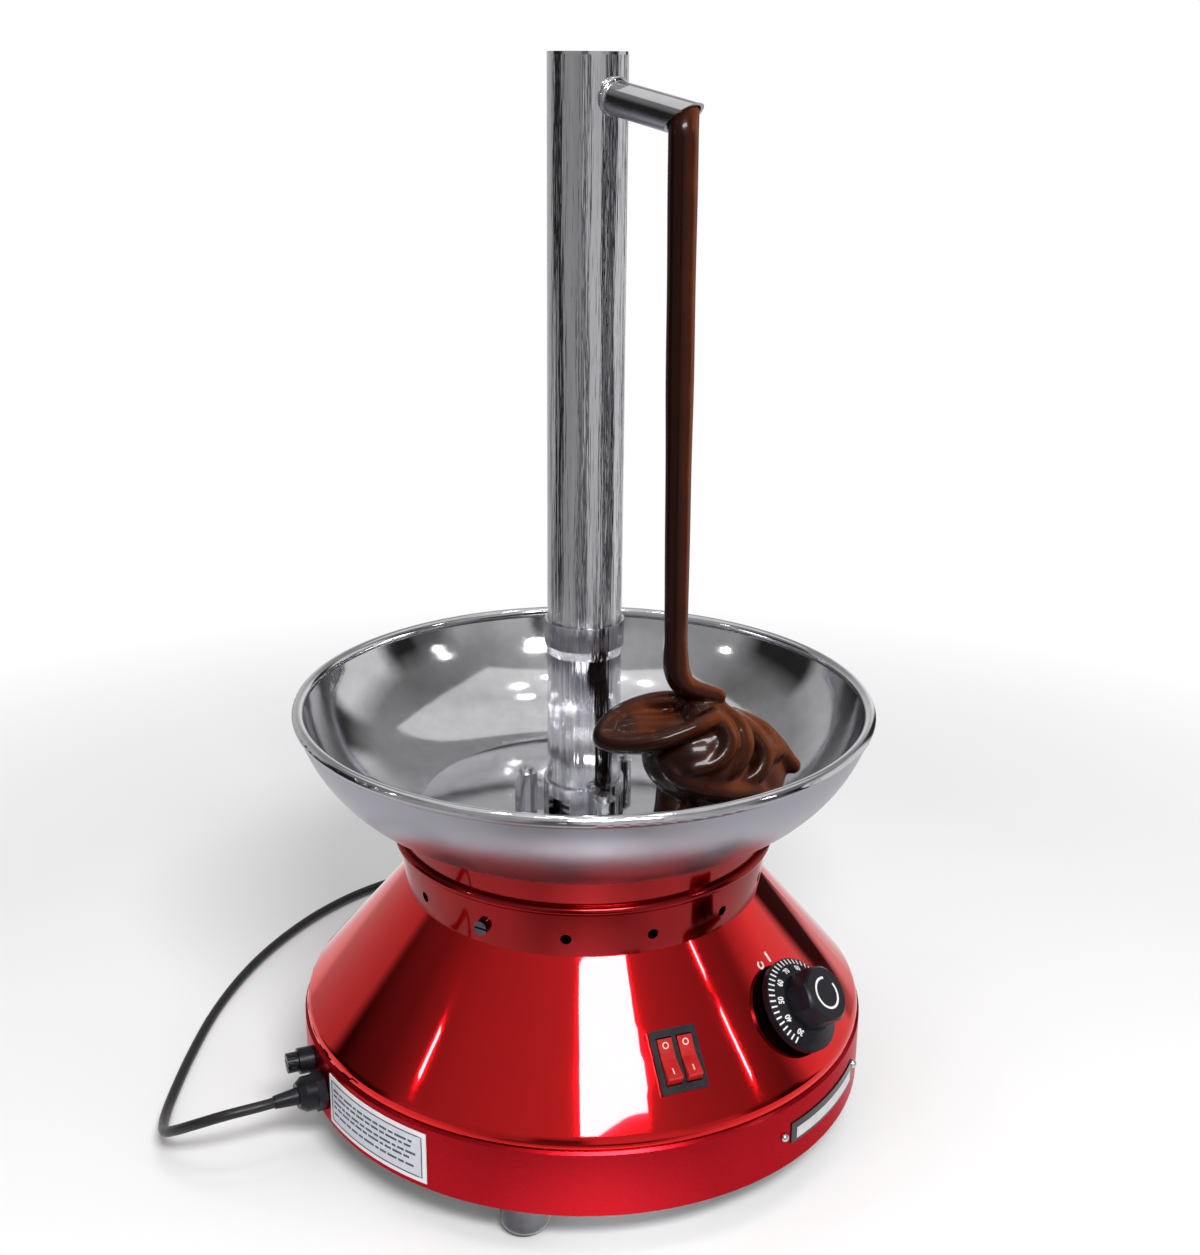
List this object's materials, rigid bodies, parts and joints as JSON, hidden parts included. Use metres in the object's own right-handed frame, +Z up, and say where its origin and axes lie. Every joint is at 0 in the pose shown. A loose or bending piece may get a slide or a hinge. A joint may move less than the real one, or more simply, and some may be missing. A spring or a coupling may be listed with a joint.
{
  "type": "chocolate fountain",
  "caption": "Tabletop chocolate fountain: a conical red motor base carries a round steel bowl and a straight column, where an auger lifts chocolate to a side spout.",
  "frame": {"origin": "on the table, under the axis of the column", "axes": "+Z up along the column, -Y towards the front with the switch, +X to the right"},
  "size_m": [0.3777, 0.4079, 0.5458],
  "materials": {
    "red_lacquer": "deep red mirror lacquer over spun steel",
    "red_satin": "satin red enamel",
    "polished_steel": "polished stainless",
    "mirror_steel": "mirror-polished spun stainless",
    "foot_chrome": "chromed cup",
    "zinc_steel": "zinc-plated steel",
    "screw_steel": "plain steel fasteners",
    "black_plastic": "moulded black, satin gloss",
    "rocker_red": "translucent red",
    "plate_white": "blank printed foil",
    "plate_dark": "blank dark plate",
    "rubber_black": "matte",
    "pvc_black": "smooth sheath",
    "brass": "machined",
    "alu_cast": "cast",
    "motor_steel": "grey enamel",
    "copper_winding": "enamelled winding",
    "block_white": "ceramic-like moulding",
    "wire_grey": "insulated wire",
    "mica": "heater plate",
    "gear_plastic": "acetal gear",
    "fuse_glass": "clear tube",
    "chocolate": "wet dark chocolate"
  },
  "bodies": {
    "base": {"skirt_band": "red_satin", "cone_shell": "red_lacquer", "neck_ring": "red_lacquer", "base_plate": "zinc_steel", "feet": "foot_chrome", "foot_pads": "rubber_black", "machine_screws": "screw_steel", "neck_screws": "screw_steel", "rating_plate": "plate_white", "front_plate": "plate_dark", "plate_rivets": "screw_steel", "switch_frame": "black_plastic", "thermostat_body": "block_white", "sensor_bulb": "brass", "fuse_holder": "black_plastic", "fuse_link": "fuse_glass", "cord_gland": "black_plastic", "gland_nut": "black_plastic", "terminal_block": "block_white", "wiring": "wire_grey", "bowl": "mirror_steel", "bowl_hub": "brass", "hub_gasket": "rubber_black", "hub_nut": "brass", "shaft_seal": "rubber_black", "pump_seat": "polished_steel", "seat_screws": "screw_steel", "heater_ring": "mica", "heater_clamp": "zinc_steel", "motor_plate": "zinc_steel", "gear_cover": "alu_cast", "support_pillars": "zinc_steel", "motor_can": "motor_steel", "motor_end_cap": "alu_cast", "motor_stator": "copper_winding", "motor_bearings": "brass", "shaft_bearings": "zinc_steel", "chocolate_pool": "chocolate", "power_cord": "pvc_black", "cord_coil": "pvc_black", "cord_tie": "pvc_black", "plug_body": "black_plastic", "plug_pins": "brass"},
    "column": {"pump_tube": "polished_steel", "locating_pin": "screw_steel", "riser_tube": "polished_steel", "spout": "polished_steel", "column_cap": "polished_steel", "chocolate_stream": "chocolate"},
    "drive": {"output_shaft": "zinc_steel", "output_gear": "gear_plastic", "auger_shaft": "polished_steel", "auger_flight": "polished_steel"},
    "rotor": {"motor_rotor": "motor_steel", "motor_pinion": "brass"},
    "dial": {"knob": "black_plastic", "thermostat_spindle": "zinc_steel"},
    "left_rocker": {"rocker_left": "rocker_red"},
    "right_rocker": {"rocker_right": "rocker_red"},
    "fuse_lid": {"fuse_cap": "black_plastic"}
  },
  "joints": [
    {"name": "column_lift", "type": "slide", "parent": "base", "child": "column", "axis": [0, 0, 1], "range_m": [0, 0.38]},
    {"name": "drive_spin", "type": "hinge", "parent": "base", "child": "drive", "pos_m": [0, 0, 0.104], "axis": [0, 0, 1], "continuous": true},
    {"name": "rotor_spin", "type": "hinge", "parent": "base", "child": "rotor", "pos_m": [0, 0.0375, 0.06], "axis": [0, 0, 1], "continuous": true},
    {"name": "knob_turn", "type": "hinge", "parent": "base", "child": "dial", "pos_m": [0.10615, -0.07296, 0.089], "axis": [0.6321, -0.4344, 0.6417], "range_deg": [-95, 175]},
    {"name": "left_rocker_tilt", "type": "hinge", "parent": "base", "child": "left_rocker", "pos_m": [0.04073, -0.12187, 0.0895], "axis": [0.9348, 0.3551, 0], "range_deg": [0, 24]},
    {"name": "right_rocker_tilt", "type": "hinge", "parent": "base", "child": "right_rocker", "pos_m": [0.05045, -0.11817, 0.0895], "axis": [0.9348, 0.3551, 0], "range_deg": [0, 24]},
    {"name": "fuse_cap_turn", "type": "hinge", "parent": "base", "child": "fuse_lid", "pos_m": [-0.14049, -0.05534, 0.0465], "axis": [-0.9304, -0.3665, 0], "range_deg": [0, 90]}
  ],
  "couplings": [
    {"joint": "rotor_spin", "follows": "drive_spin", "ratio": -4}
  ]
}
